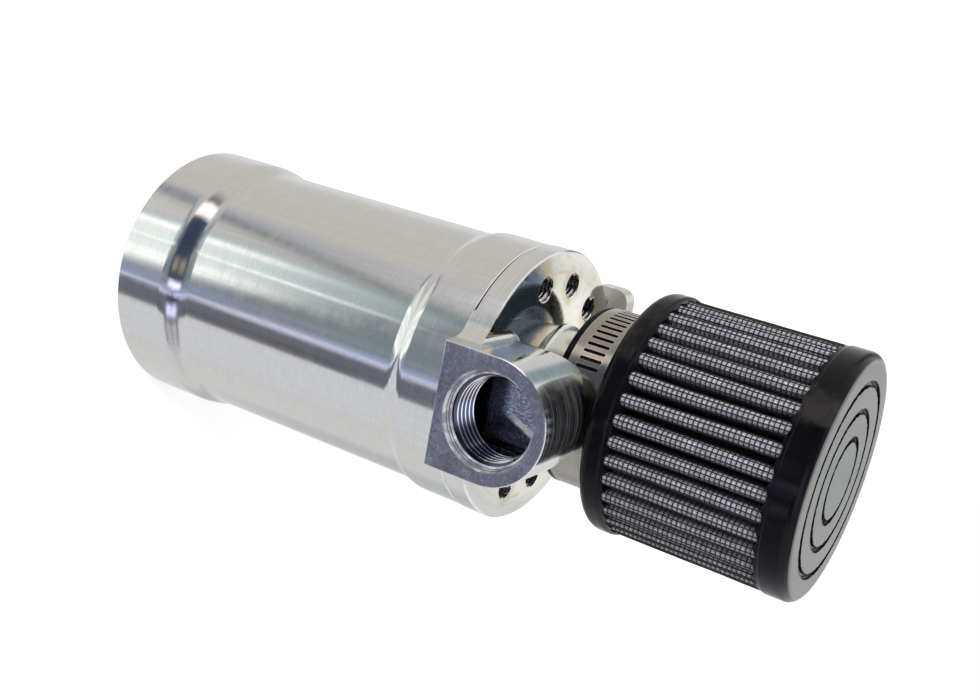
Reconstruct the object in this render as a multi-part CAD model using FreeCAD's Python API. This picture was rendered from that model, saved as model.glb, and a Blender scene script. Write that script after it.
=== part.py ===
import FreeCAD
import Part
import math
import os

# Vented oil catch can: a turned aluminium cup closed by a machined lid that screws in. The lid carries
# a side port in a boss, an offset neck with a clamped breather filter, and a mounting bar at the rear.
# Millimetres, +Z up, origin at the middle of the flat underside, side port towards -Y.

Vector = FreeCAD.Vector
UP = Vector(0, 0, 1)

# Clearances between pieces
seam_gap = 0.35            # shadow line between the can's rim and the lid
turn_gap = 0.3             # between pieces that turn or slide on each other
hide = 1.0                 # how far a cutting shape runs past the face that it opens

# Can, a turned cup with a raised band at each end
can_foot_r = 44.45
waist_step = 1.95          # how far the waist lies inside the foot's band
rim_step = 0.25
can_height = 135.6
foot_band = 19.3           # height of the lower band
foot_blend_r = 16.0
foot_blend_angle = 20.0
rim_band = 15.4            # height of the upper band
rim_blend_r = 6.6
rim_blend_angle = 29.0
can_wall = 3.2
can_floor = 6.0
can_inner_corner = 4.0
mouth_depth = 14.0
edge_break = 0.5

# Drain plug, flush in the can's floor
drain_boss_r = 12.0
drain_boss_height = 12.0
drain_head_r = 8.2
drain_head = 3.2
drain_shank_r = 5.0
drain_shank = 6.5
drain_hex = 6.0            # across flats
drain_hex_depth = 2.4
drain_sink = 0.6           # how far the head lies inside the can's foot
drain_seal = 1.2

# Lid
lid_proud = 0.05           # how far the lid's rim stands outside the can's foot
lid_plate = 7.8
lid_edge = 0.45
spigot_wall = 3.7
spigot_length = 12.0
seal_groove = 3.4
seal_groove_depth = 2.6
seal_below_plate = 1.6

# Boss and side port
port_reach = 4.35          # machined face beyond the lid's rim
boss_half = 19.15
boss_axis_height = 18.1    # port axis above the lid's underside
boss_blend = 10.0          # round between the lid's rim and the boss's sides
boss_length = 28.95
boss_corner = 6.6
scallop_r = 21.0           # hollow cut behind the boss, for a screwdriver and the clamp
scallop_offset = 14.4      # from the boss's rear line to the middle of the hollow
boss_fillet = 2.6
port_seat_r = 15.15
port_seat_inner_r = 13.9
port_seat = 2.9
port_thread_r = 13.49
port_thread = 10.65
port_edge = 0.3            # bright break round the machined face
passage_width = 4.5        # milled chamber behind the port, open down into the can
passage_length = 21.8
passage_corner = 4.4
passage_top = 9.5          # above the port's axis

# Neck that carries the filter, set back from the can's axis
neck_offset = 9.8
neck_r = 18.1
neck_waist = 12.6
neck_fillet = 2.1
neck_flare = 4.1           # how far the seat under the filter stands outside the neck
neck_seat = 19.6
neck_wall = 2.9
neck_shoulder = 1.2

# Threaded holes in the lid's face
top_hole_r = 4.0
top_hole_depth = 6.6
top_hole_chamfer = 0.3
top_hole_edge = 10.7       # from the lid's rim to the holes' circle
top_hole_first = -15.0     # degrees forward of the cross axis
top_hole_step = 30.0
top_hole_side_count = 3

# Mounting bar at the rear of the lid
bar_left = -29.8
bar_right = 38.2
bar_inset = 6.0            # bar's front face inside the lid's rim
bar_thickness = 6.2
bar_rise = 7.0             # above the lid's face
bar_corner = 4.5
bar_hole_r = 3.0
bar_hole_depth = 12.0
bar_hole_spacing = 34.0

# Baffle, hung under the lid
baffle_edge = 2.7          # open ring between the baffle and the can's wall
baffle_plate = 1.5
baffle_drop = 28.0
baffle_hole_r = 2.2
baffle_ring_first = 8.5    # radius of the first ring of holes
baffle_ring_step = 8.0
baffle_ring_count = 3
baffle_ring_holes = 6      # in the first ring, with as many more in each ring outside it
standoff_r = 3.6
standoff_edge = 2.4        # metal between a standoff and the spigot
standoff_angles = (30.0, 150.0, 225.0, 315.0)
standoff_stud_r = 1.9
standoff_stud = 5.0
baffle_screw_head_r = 3.4
baffle_screw_head = 2.2
baffle_screw_shank = 8.0

# Separator mesh in the neck, with its perforated retainer
separator_height = 30.0
retainer_lip = 4.3         # how far the retainer reaches beyond the neck's bore
retainer_plate = 1.2
retainer_hole_r = 1.9
retainer_ring_step = 5.5   # between the rings of holes about the middle one
retainer_ring_count = 2
retainer_ring_holes = 6    # in the first ring, with as many more in each ring outside it
retainer_screw_r = 1.2
retainer_screw_head_r = 2.1
retainer_screw_head = 1.4
retainer_screw_length = 5.0
retainer_screw_count = 4

# Filter
collar_start = 13.3        # bottom of the rubber collar above the lid's face
collar_wall = 6.3
flange_start = 31.0        # underside of the rubber flange above the lid's face
flange_proud = 0.4         # rubber ends beyond the pleats' wire
flange_height = 7.4
flange_round = 3.0
pocket_depth = 3.4         # how far the pleats sit in the rubber
pleat_count = 36
pleat_tip_r = 37.85
pleat_depth = 10.25
pleat_round = 1.9
pleat_root_half = 0.55
cloth = 1.2
mesh = 0.35
support_gap = 1.2          # between the pleats' roots and the support tube
support_wall = 0.7
pleat_show = 49.7          # length of pleat between the two rubber ends
cap_height = 9.2
cap_round = 3.0
cap_groove_first_r = 12.9
cap_groove_step = 8.4
cap_groove_count = 3
cap_groove = 1.5
cap_groove_depth = 1.0
cap_groove_round = 0.25

# Hose clamp
clamp_start = 15.1         # lower edge of the band above the lid's face
clamp_width = 13.4
clamp_band = 0.7
slot_pitch = 5.3           # degrees
slot_length = 7.4
slot_width = 1.15
slot_count = 41
slot_first = 238.7         # degrees about the filter's axis
housing_angle = 50.0
tail_beyond = 26.0
housing_length = 13.0
housing_wall = 0.8
worm_r = 4.3
worm_root_r = 3.5
worm_length = 9.6
worm_turn_count = 4
screw_neck_r = 2.6
screw_neck = 0.6
screw_flange_r = 5.2
screw_flange = 1.0
screw_hex = 8.0            # across flats
screw_hex_height = 4.4
screw_slot = 1.2
screw_slot_depth = 1.6

# Radii and places that follow from the sizes above
can_waist_r = can_foot_r - waist_step
can_rim_r = can_foot_r - rim_step
bore_r = can_waist_r - can_wall
mouth_r = can_rim_r - can_wall
spigot_r = mouth_r - turn_gap
lid_r = can_foot_r + lid_proud
port_face = lid_r + port_reach
boss_rear = port_face - boss_length
scallop_middle = boss_rear - scallop_offset
bar_front = lid_r - bar_inset
top_hole_pitch_r = lid_r - top_hole_edge
neck_seat_r = neck_r + neck_flare
neck_bore_r = neck_r - neck_wall
baffle_r = bore_r - baffle_edge
standoff_circle = spigot_r - spigot_wall - standoff_edge - standoff_r
retainer_r = neck_bore_r + retainer_lip
retainer_screw_circle = (neck_bore_r + retainer_r) / 2
collar_r = neck_seat_r + collar_wall
pleat_root_r = pleat_tip_r - pleat_depth
mesh_tip_r = pleat_tip_r + mesh
support_r = pleat_root_r - cloth - support_gap
flange_r = mesh_tip_r + 2 * flange_proud
cap_r = mesh_tip_r + flange_proud
clamp_r = collar_r + clamp_band

# Levels that follow from the sizes above
seam_z = can_height + seam_gap
face_z = seam_z + lid_plate
port_z = seam_z + boss_axis_height
neck_top_z = face_z + neck_waist + neck_seat
flange_z = face_z + flange_start
flange_top_z = flange_z + flange_height
cap_z = flange_top_z + pleat_show
pleat_low_z = flange_top_z - pocket_depth
pleat_high_z = cap_z + pocket_depth
clamp_z = face_z + clamp_start
baffle_z = seam_z - baffle_drop
neck_place = Vector(0, neck_offset, 0)


def polar(radius, degrees, z=0.0):
    angle = math.radians(degrees)
    return Vector(radius * math.cos(angle), radius * math.sin(angle), z)


def section(u, v):
    # Half section of a turned piece: radius, height
    return Vector(u, 0, v)


def plan(u, v):
    return Vector(u, v, 0)


def outline(corners, place):
    # Closed outline of straight sides, where each corner (u, v, radius) is rounded by its own radius
    spots = []
    for i, (u, v, radius) in enumerate(corners):
        here = place(u, v)
        back = place(*corners[i - 1][:2]).sub(here).normalize()
        ahead = place(*corners[(i + 1) % len(corners)][:2]).sub(here).normalize()
        if radius == 0:
            spots.append((here, None, here))
            continue
        half = back.getAngle(ahead) / 2
        reach = radius / math.tan(half)
        inward = (back + ahead).normalize() * (radius / math.sin(half) - radius)
        spots.append((here + back * reach, here + inward, here + ahead * reach))
    edges = []
    for i, (start, middle, stop) in enumerate(spots):
        if middle is not None:
            edges.append(Part.Arc(start, middle, stop).toShape())
        following = spots[(i + 1) % len(spots)][0]
        if stop.distanceToPoint(following) > 1e-6:
            edges.append(Part.makeLine(stop, following))
    return Part.Face(Part.Wire(edges))


def turned(corners):
    return outline(corners, section).revolve(Vector(0, 0, 0), UP, 360)


def cylinder(radius, low, high, middle=None):
    place = Vector(0, 0, low) if middle is None else Vector(middle.x, middle.y, low)
    return Part.makeCylinder(radius, high - low, place)


def ring(outer, inner, low, high):
    return cylinder(outer, low, high).cut(cylinder(inner, low - hide, high + hide))


def hexagon(flats, low, high):
    corner = flats / math.sqrt(3)
    points = [polar(corner, 60 * i, low) for i in range(6)]
    return Part.Face(Part.makePolygon(points + points[:1])).extrude(Vector(0, 0, high - low))


def joined(shapes):
    whole = shapes[0]
    for shape in shapes[1:]:
        whole = whole.fuse(shape)
    return whole.removeSplitter()


def copies(shape, places):
    made = []
    for place in places:
        copy = shape.copy()
        copy.translate(place)
        made.append(copy)
    return made


def moved(shape, place):
    copy = shape.copy()
    copy.translate(place)
    return copy


def blend_length(drop, angle):
    # Axial length of the sloping line of a band's edge, between its two rounds
    return abs(drop) / math.tan(math.radians(angle))


# Can and drain plug
def can_outline():
    foot_slope = blend_length(can_foot_r - can_waist_r, foot_blend_angle)
    rim_slope = blend_length(can_rim_r - can_waist_r, rim_blend_angle)
    foot_turn = foot_blend_r * math.tan(math.radians(foot_blend_angle / 2))
    rim_turn = rim_blend_r * math.tan(math.radians(rim_blend_angle / 2))
    foot_top = foot_band + foot_turn
    rim_low = can_height - rim_band - rim_turn
    mouth_z = can_height - mouth_depth
    return [
        (0, 0, 0),
        (can_foot_r - edge_break, 0, 0),
        (can_foot_r, edge_break, 0),
        (can_foot_r, foot_top, foot_blend_r * 0.98),
        (can_waist_r, foot_top + foot_slope, foot_blend_r * 0.98),
        (can_waist_r, rim_low - rim_slope, rim_blend_r * 0.98),
        (can_rim_r, rim_low, rim_blend_r * 0.98),
        (can_rim_r, can_height - edge_break / 2, 0),
        (can_rim_r - edge_break / 2, can_height, 0),
        (mouth_r + edge_break, can_height, 0),
        (mouth_r, can_height - edge_break, 0),
        (mouth_r, mouth_z, 0),
        (bore_r, mouth_z - (mouth_r - bore_r), 0),
        (bore_r, can_floor, can_inner_corner),
        (drain_boss_r, can_floor, 1.0),
        (drain_boss_r, drain_boss_height, 1.0),
        (0, drain_boss_height, 0),
    ]


def can_body():
    body = turned(can_outline())
    recess = drain_sink + drain_head + drain_seal
    body = body.cut(cylinder(drain_head_r + turn_gap, -hide, recess))
    return body.cut(cylinder(drain_shank_r, 0, drain_boss_height + hide))


def drain_plug():
    top = drain_sink + drain_head
    plug = turned([
        (0, drain_sink, 0),
        (drain_head_r, drain_sink, 0.5),
        (drain_head_r, top, 0),
        (drain_shank_r, top, 0),
        (drain_shank_r, top + drain_seal + drain_shank, 0.6),
        (0, top + drain_seal + drain_shank, 0),
    ])
    return plug.cut(hexagon(drain_hex, drain_sink - hide, drain_sink + drain_hex_depth))


def drain_washer():
    low = drain_sink + drain_head
    return ring(drain_head_r - 0.4, drain_shank_r, low, low + drain_seal)


# Lid
def lid_plan():
    # Plan of the lid: the round rim runs through concave rounds into the sides of the boss
    side = boss_half + boss_blend
    back = math.sqrt((lid_r + boss_blend) ** 2 - side ** 2)
    share = lid_r / (lid_r + boss_blend)
    angle = math.radians(22.5)
    pieces = []
    for hand in (1, -1):
        middle = Vector(hand * side, -back, 0)
        on_rim = middle * share
        on_side = Vector(hand * boss_half, -back, 0)
        towards = (on_rim - middle).normalize() + (on_side - middle).normalize()
        between = middle + towards.normalize() * boss_blend
        pieces.append(Part.Arc(on_rim, between, on_side).toShape())
        pieces.append(Part.makeLine(on_side, Vector(hand * boss_half, -port_face, 0)))
    rims = [Vector(hand * side, -back, 0) * share for hand in (1, -1)]
    pieces.append(Part.Arc(rims[0], Vector(0, lid_r, 0), rims[1]).toShape())
    pieces.append(Part.makeLine(Vector(-boss_half, -port_face, 0), Vector(boss_half, -port_face, 0)))
    return Part.Face(Part.Wire(Part.__sortEdges__(pieces)))


def boss_block(front):
    # Boss with a round top and straight sides, rounded at its rear corners
    wide = boss_half
    low = Vector(-wide, -front, seam_z)
    high = Vector(-wide, -front, port_z)
    right_high = Vector(wide, -front, port_z)
    right_low = Vector(wide, -front, seam_z)
    top = Part.Arc(high, Vector(0, -front, port_z + wide), right_high).toShape()
    sides = [Part.makeLine(low, high), top, Part.makeLine(right_high, right_low)]
    bottom = Part.makeLine(right_low, low)
    block = Part.Face(Part.Wire(sides + [bottom])).extrude(Vector(0, front - boss_rear, 0))
    shape = outline([
        (-wide, -front - hide, 0),
        (wide, -front - hide, 0),
        (wide, -boss_rear, boss_corner),
        (-wide, -boss_rear, boss_corner),
    ], plan)
    shape.translate(Vector(0, 0, seam_z))
    return block.common(shape.extrude(Vector(0, 0, boss_axis_height + wide + hide)))


def base_edges(body):
    # Inner corners where the boss and the neck stand on the lid's face
    found = []
    for edge in body.Edges:
        box = edge.BoundBox
        if abs(box.ZMin - face_z) > 0.01 or abs(box.ZMax - face_z) > 0.01:
            continue
        reach = max(abs(box.XMin), abs(box.XMax), abs(box.YMin), abs(box.YMax))
        if reach < port_face + boss_length / 2 and not is_neck_edge(edge):
            found.append(edge)
    return found


def is_neck_edge(edge):
    curve = edge.Curve
    return isinstance(curve, Part.Circle) and abs(curve.Radius - neck_r) < 0.01


def lid_upper():
    # Plate, boss and neck, filleted while the plate is still oversize and then cut to its outline
    spare = boss_length / 3
    plate = cylinder(port_face + 2 * spare, seam_z, face_z)
    neck = cylinder(neck_r, seam_z, face_z + neck_waist, neck_place)
    body = joined([plate, boss_block(port_face + spare), neck])
    body = body.makeFillet(boss_fillet, base_edges(body))
    body = body.makeFillet(neck_fillet, [e for e in body.Edges if is_neck_edge(e) and on_face(e)])
    high = port_z + boss_half + hide
    scallop = cylinder(scallop_r, face_z, high, Vector(0, -scallop_middle, 0))
    scallop = scallop.cut(cylinder(neck_r + neck_fillet, face_z - hide, high + hide, neck_place))
    body = body.cut(scallop)
    prism = lid_plan()
    prism.translate(Vector(0, 0, seam_z))
    prism = prism.extrude(Vector(0, 0, boss_axis_height + boss_half + hide))
    return body.common(prism)


def on_face(edge):
    return abs(edge.BoundBox.ZMin - face_z) < 0.01 and abs(edge.BoundBox.ZMax - face_z) < 0.01


def neck_seat_ring():
    start = face_z + neck_waist
    seat = turned([
        (0, start - neck_shoulder, 0),
        (neck_r, start - neck_shoulder, 0),
        (neck_seat_r, start, 0.3),
        (neck_seat_r, neck_top_z, 0.8),
        (0, neck_top_z, 0),
    ])
    return moved(seat, neck_place)


def mounting_bar():
    corners = [
        (bar_left, seam_z, bar_corner),
        (bar_right, seam_z, bar_corner),
        (bar_right, face_z + bar_rise, bar_corner),
        (bar_left, face_z + bar_rise, bar_corner),
    ]
    face = outline(corners, lambda u, v: Vector(u, bar_front, v))
    return face.extrude(Vector(0, bar_thickness, 0))


def spigot():
    low = seam_z - spigot_length
    groove_high = seam_z - seal_below_plate
    groove_low = groove_high - seal_groove
    return turned([
        (spigot_r - spigot_wall, low, 0),
        (spigot_r - edge_break, low, 0),
        (spigot_r, low + edge_break, 0),
        (spigot_r, groove_low, 0),
        (spigot_r - seal_groove_depth, groove_low, 0),
        (spigot_r - seal_groove_depth, groove_high, 0),
        (spigot_r, groove_high, 0),
        (spigot_r, seam_z + edge_break, 0),
        (spigot_r - spigot_wall, seam_z + edge_break, 0),
    ])


def port_tool():
    # Everything that the side port removes, made along Z and then laid along the port's axis
    tool = turned([
        (0, -hide, 0),
        (port_seat_r + hide * 0.4, -hide, 0),
        (port_seat_r, 0, 0),
        (port_seat_inner_r, port_seat, 0),
        (port_thread_r, port_seat, 0),
        (port_thread_r, port_seat + port_thread, 0),
        (0, port_seat + port_thread, 0),
    ])
    tool.rotate(Vector(0, 0, 0), Vector(1, 0, 0), -90)
    tool.translate(Vector(0, -port_face, port_z))
    return tool


def passage_tool():
    half = passage_length / 2
    front = port_seat + port_thread - port_face
    rear = front + passage_width
    face = outline([
        (-half, front, 0),
        (half, front, 0),
        (half, rear, passage_corner),
        (-half, rear, passage_corner),
    ], plan)
    face.translate(Vector(0, 0, seam_z - hide))
    return face.extrude(Vector(0, 0, boss_axis_height + passage_top + hide))


def top_hole_places():
    places = []
    for i in range(top_hole_side_count):
        angle = top_hole_first + i * top_hole_step
        places.append(polar(top_hole_pitch_r, angle))
        places.append(polar(top_hole_pitch_r, 180 - angle))
    return places


def top_hole_tools():
    floor = face_z - top_hole_depth
    tool = turned([
        (0, floor - top_hole_r * 0.1, 0),
        (top_hole_r, floor, 0),
        (top_hole_r, face_z - top_hole_chamfer, 0),
        (top_hole_r + top_hole_chamfer + hide, face_z + hide, 0),
        (0, face_z + hide, 0),
    ])
    return copies(tool, top_hole_places())


def bar_hole_places():
    middle = (bar_left + bar_right) / 2
    return [middle - bar_hole_spacing / 2, middle + bar_hole_spacing / 2]


def bar_hole_tools():
    rear = bar_front + bar_thickness
    tools = []
    for x in bar_hole_places():
        start = Vector(x, rear + hide, seam_z + lid_plate / 2)
        tools.append(Part.makeCylinder(bar_hole_r, bar_hole_depth + hide, start, Vector(0, -1, 0)))
    return tools


def rim_cut():
    # Breaks the sharp edge of the lid's rim, above and below
    slope = lid_edge
    tools = []
    for level, way in ((face_z, 1), (seam_z, -1)):
        tools.append(turned([
            (lid_r - slope, level, 0),
            (lid_r + 2 * slope, level, 0),
            (lid_r + 2 * slope, level - way * 3 * slope, 0),
        ]))
    wide = 2 * (boss_half + boss_blend)
    base = seam_z - hide
    high = lid_plate + 2 * hide
    front = Part.makeBox(wide, port_face, high, Vector(-wide / 2, -port_face - lid_r * 0.8, base))
    rear = Part.makeBox(2 * port_face, lid_r, high, Vector(-port_face, bar_front, base))
    return [tool.cut(front).cut(rear) for tool in tools]


def lid():
    body = joined([lid_upper(), neck_seat_ring(), mounting_bar(), spigot()])
    cuts = [cylinder(neck_bore_r, seam_z - hide, neck_top_z + hide, neck_place), port_tool(), passage_tool()]
    cuts += top_hole_tools() + bar_hole_tools() + rim_cut()
    cuts += [cylinder(standoff_stud_r, seam_z - hide, seam_z + standoff_stud, p) for p in standoff_places()]
    cuts += [cylinder(retainer_screw_r, seam_z - hide, seam_z + retainer_screw_length, p)
             for p in retainer_screw_places()]
    for cut in cuts:
        body = body.cut(cut)
    machined = [face for face in body.Faces if face.BoundBox.YMax < port_edge / 2 - port_face]
    return body.makeChamfer(port_edge, machined[0].OuterWire.Edges)


def lid_seal():
    high = seam_z - seal_below_plate - turn_gap
    low = high - seal_groove + 2 * turn_gap
    inner = spigot_r - seal_groove_depth + turn_gap
    outer = mouth_r - turn_gap
    size = 0.8
    return turned([(inner, low, size), (outer, low, size), (outer, high, size), (inner, high, size)])


# Inside the can
def standoff_places():
    return [polar(standoff_circle, angle) for angle in standoff_angles]


def ring_places(first, step, count, holes):
    places = []
    for i in range(count):
        number = holes * (i + 1)
        places += [polar(first + i * step, 360.0 * j / number) for j in range(number)]
    return places


def baffle():
    low = baffle_z
    high = low + baffle_plate
    drains = ring_places(baffle_ring_first, baffle_ring_step, baffle_ring_count, baffle_ring_holes)
    tools = [cylinder(baffle_hole_r, low - hide, high + hide, p) for p in drains]
    tools += [cylinder(standoff_stud_r, low - hide, high + hide, p) for p in standoff_places()]
    return cylinder(baffle_r, low, high).cut(tools)


def standoffs():
    low = baffle_z + baffle_plate
    post = cylinder(standoff_r, low, seam_z)
    stud = cylinder(standoff_stud_r, seam_z, seam_z + standoff_stud - turn_gap)
    one = post.fuse(stud).cut(cylinder(standoff_stud_r, low - hide, low + baffle_screw_shank))
    return Part.makeCompound(copies(one, standoff_places()))


def baffle_screws():
    head = turned([
        (0, baffle_z - baffle_screw_head, 0),
        (baffle_screw_head_r, baffle_z - baffle_screw_head, 0.8),
        (baffle_screw_head_r, baffle_z, 0),
        (0, baffle_z, 0),
    ])
    shank = cylinder(standoff_stud_r, baffle_z, baffle_z + baffle_plate + baffle_screw_shank - hide)
    socket = hexagon(2.5, baffle_z - baffle_screw_head - hide, baffle_z - baffle_screw_head + 1.2)
    return Part.makeCompound(copies(head.fuse(shank).cut(socket), standoff_places()))


def separator_mesh():
    return cylinder(neck_bore_r, seam_z, seam_z + separator_height, neck_place)


def retainer_screw_places():
    turn = 360.0 / retainer_screw_count
    return [polar(retainer_screw_circle, turn * (i + 0.5)) + neck_place for i in range(retainer_screw_count)]


def mesh_retainer():
    low = seam_z - retainer_plate
    rings = ring_places(retainer_ring_step, retainer_ring_step, retainer_ring_count, retainer_ring_holes)
    vents = [neck_place] + [p + neck_place for p in rings]
    tools = [cylinder(retainer_hole_r, low - hide, seam_z + hide, p) for p in vents]
    tools += [cylinder(retainer_screw_r, low - hide, seam_z + hide, p) for p in retainer_screw_places()]
    return cylinder(retainer_r, low, seam_z, neck_place).cut(tools)


def retainer_screw_group():
    low = seam_z - retainer_plate
    head = cylinder(retainer_screw_head_r, low - retainer_screw_head, low)
    shank = cylinder(retainer_screw_r, low, low + retainer_screw_length)
    socket = hexagon(1.6, low - retainer_screw_head - hide, low - retainer_screw_head + 0.8)
    return Part.makeCompound(copies(head.fuse(shank).cut(socket), retainer_screw_places()))


# Filter
def pleat_loop(tip, root, tip_round, root_half):
    # Closed zigzag ring: a round tip and a narrow flat root for each pleat, joined by straight flanks
    turn = 360.0 / pleat_count
    edges = []
    tip_middle = tip - tip_round
    for i in range(pleat_count):
        angle = i * turn
        out = polar(1.0, angle)
        across = polar(1.0, angle + 90)
        centre = out * tip_middle
        left = centre + across * tip_round
        right = centre - across * tip_round
        edges.append(Part.Arc(right, out * tip, left).toShape())
        valley = polar(1.0, angle + turn / 2)
        valley_across = polar(1.0, angle + turn / 2 + 90)
        base = valley * root
        start = base - valley_across * root_half
        stop = base + valley_across * root_half
        edges.append(Part.makeLine(left, start))
        edges.append(Part.makeLine(start, stop))
        following = polar(1.0, angle + turn)
        following_across = polar(1.0, angle + turn + 90)
        edges.append(Part.makeLine(stop, following * tip_middle - following_across * tip_round))
    return Part.Wire(edges)


def pleat_prism(tip, root, tip_round, root_half):
    face = Part.Face(pleat_loop(tip, root, tip_round, root_half))
    face.translate(Vector(0, 0, pleat_low_z))
    return face.extrude(Vector(0, 0, pleat_high_z - pleat_low_z))


def cloth_outside():
    return pleat_prism(pleat_tip_r, pleat_root_r, pleat_round, pleat_root_half)


def mesh_outside():
    root_half = pleat_root_half - mesh / 2
    return pleat_prism(pleat_tip_r + mesh, pleat_root_r + mesh, pleat_round + mesh, root_half)


def filter_media():
    root_half = pleat_root_half + cloth
    hollow = pleat_prism(pleat_tip_r - cloth, pleat_root_r - cloth, pleat_round - cloth, root_half)
    return moved(cloth_outside().cut(hollow), neck_place)


def outer_mesh():
    return moved(mesh_outside().cut(cloth_outside()), neck_place)


def inner_mesh():
    return moved(ring(support_r, support_r - support_wall, pleat_low_z, pleat_high_z), neck_place)


def filter_base():
    inner = support_r - support_wall - 0.5
    low = face_z + collar_start
    base = turned([
        (neck_seat_r, low, 0.4),
        (collar_r, low, 1.0),
        (collar_r, flange_z, 1.6),
        (flange_r, flange_z, flange_round),
        (flange_r, flange_top_z, 1.2),
        (inner, flange_top_z, 0),
        (inner, neck_top_z, 0),
        (neck_seat_r, neck_top_z, 0),
    ])
    return moved(base.cut(mesh_outside()), neck_place)


def filter_cap():
    top = cap_z + cap_height
    cap = turned([
        (0, cap_z, 0),
        (cap_r, cap_z, 0.8),
        (cap_r, top, cap_round),
        (0, top, 0),
    ])
    cap = cap.cut(mesh_outside())
    half = cap_groove / 2
    lip = half + cap_groove_round
    for i in range(cap_groove_count):
        radius = cap_groove_first_r + i * cap_groove_step
        cap = cap.cut(turned([
            (radius - half, top - cap_groove_depth, 0.3),
            (radius + half, top - cap_groove_depth, 0.3),
            (radius + half, top - cap_groove_round, 0),
            (radius + lip, top + hide, 0),
            (radius - lip, top + hide, 0),
            (radius - half, top - cap_groove_round, 0),
        ]))
    return moved(cap, neck_place)


# Hose clamp
def clamp_frame(shape):
    # From the clamp's own frame, screw along Y at the band's crown on +X, to its place on the collar
    shape.rotate(Vector(0, 0, 0), UP, housing_angle)
    shape.translate(Vector(0, neck_offset, clamp_z + clamp_width / 2))
    return shape


def band_slot(radius):
    # One slot through the band, its length along Z
    straight = slot_length - slot_width
    deep = 4 * clamp_band
    start = radius - deep / 2
    box = Part.makeBox(deep, slot_width, straight, Vector(start, -slot_width / 2, -straight / 2))
    ends = [Part.makeCylinder(slot_width / 2, deep, Vector(start, 0, side * straight / 2), Vector(1, 0, 0))
            for side in (-1, 1)]
    return box.fuse(ends[0]).fuse(ends[1]).removeSplitter()


def clamp_band_piece():
    half = clamp_width / 2
    band = ring(clamp_r, collar_r, -half, half)
    tail_r = clamp_r + clamp_band
    tail = ring(tail_r, clamp_r, -half, half)
    sweep = math.radians(tail_beyond)
    wedge = Part.Face(Part.makePolygon([
        Vector(0, 0, -half - hide),
        Vector(2 * tail_r, 0, -half - hide),
        Vector(2 * tail_r, -2 * tail_r * math.tan(sweep), -half - hide),
        Vector(0, 0, -half - hide),
    ])).extrude(Vector(0, 0, clamp_width + 2 * hide))
    band = band.fuse(tail.common(wedge)).removeSplitter()
    slots = []
    for i in range(slot_count):
        slot = band_slot(clamp_r)
        slot.rotate(Vector(0, 0, 0), UP, slot_first - i * slot_pitch - housing_angle)
        slots.append(slot)
    return clamp_frame(band.cut(slots))


def screw_axis_r():
    return clamp_r + clamp_band + turn_gap + worm_r


def clamp_housing():
    # Stamped cover: an arch over the worm, feet along the band's curve and an end wall round the neck
    axis = screw_axis_r()
    arch_r = worm_r + turn_gap + housing_wall
    half = clamp_width / 2
    long = housing_length
    start = Vector(axis, -long / 2, 0)
    along = Vector(0, 1, 0)
    inside = collar_r - 2 * hide
    foot_top = clamp_r + clamp_band + housing_wall
    outside = half + housing_wall
    body = Part.makeBox(foot_top - inside, long, 2 * outside, Vector(inside, -long / 2, -outside))
    body = body.fuse(Part.makeBox(axis - inside, long, 2 * arch_r, Vector(inside, -long / 2, -arch_r)))
    body = body.fuse(Part.makeCylinder(arch_r, long, start, along))
    body = body.cut(cylinder(clamp_r + clamp_band, -half, half))
    body = body.cut(cylinder(collar_r, -2 * half, 2 * half))
    room = worm_r + turn_gap
    tunnel = Part.makeCylinder(room, long, start + along * housing_wall, along)
    window = Part.makeBox(axis - inside, long, 2 * room, Vector(inside, housing_wall - long / 2, -room))
    opening = Part.makeCylinder(screw_neck_r + turn_gap, 2 * hide + housing_wall, start - along * hide, along)
    return clamp_frame(body.cut(tunnel.fuse(window)).cut(opening).removeSplitter())


def clamp_screw():
    # Worm, neck, flange and slotted hexagon head, turned about Z and then laid along the band
    pitch = worm_length / worm_turn_count
    flat = pitch * 0.25
    low = turn_gap + housing_wall
    corners = [(0, low, 0)]
    for i in range(worm_turn_count):
        start = low + i * pitch
        corners += [(worm_root_r, start, 0), (worm_r, start + flat, 0), (worm_r, start + 2 * flat, 0),
                    (worm_root_r, start + 3 * flat, 0)]
    corners += [(worm_root_r, low + worm_length, 0), (0, low + worm_length, 0)]
    body = turned(corners)
    body = body.fuse(cylinder(screw_neck_r, -screw_neck, low))
    body = body.fuse(cylinder(screw_flange_r, -screw_neck - screw_flange, -screw_neck))
    head_low = -screw_neck - screw_flange - screw_hex_height
    body = body.fuse(hexagon(screw_hex, head_low, -screw_neck - screw_flange))
    slot = Part.makeBox(2 * screw_hex, screw_slot, screw_slot_depth + hide,
                        Vector(-screw_hex, -screw_slot / 2, head_low - hide))
    body = body.cut(slot)
    body.rotate(Vector(0, 0, 0), Vector(1, 0, 0), -90)
    body.translate(Vector(screw_axis_r(), -housing_length / 2, 0))
    return clamp_frame(body)


pieces = {
    "can_body": can_body,
    "drain_plug": drain_plug,
    "drain_seal": drain_washer,
    "lid": lid,
    "lid_seal": lid_seal,
    "baffle_plate": baffle,
    "baffle_standoffs": standoffs,
    "baffle_screws": baffle_screws,
    "separator_mesh": separator_mesh,
    "mesh_retainer": mesh_retainer,
    "retainer_screws": retainer_screw_group,
    "filter_base": filter_base,
    "filter_media": filter_media,
    "outer_mesh": outer_mesh,
    "inner_mesh": inner_mesh,
    "filter_cap": filter_cap,
    "clamp_band": clamp_band_piece,
    "clamp_housing": clamp_housing,
    "clamp_screw": clamp_screw,
}

os.makedirs("parts", exist_ok=True)
for name, make in pieces.items():
    shape = make()
    shape.exportStep("parts/" + name + ".step")
    print(name, "solids", len(shape.Solids), "valid", shape.isValid(), "volume", round(shape.Volume, 1))
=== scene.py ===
import bpy
import bmesh
import math
from mathutils import Matrix, Vector, noise as softNoise


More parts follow.
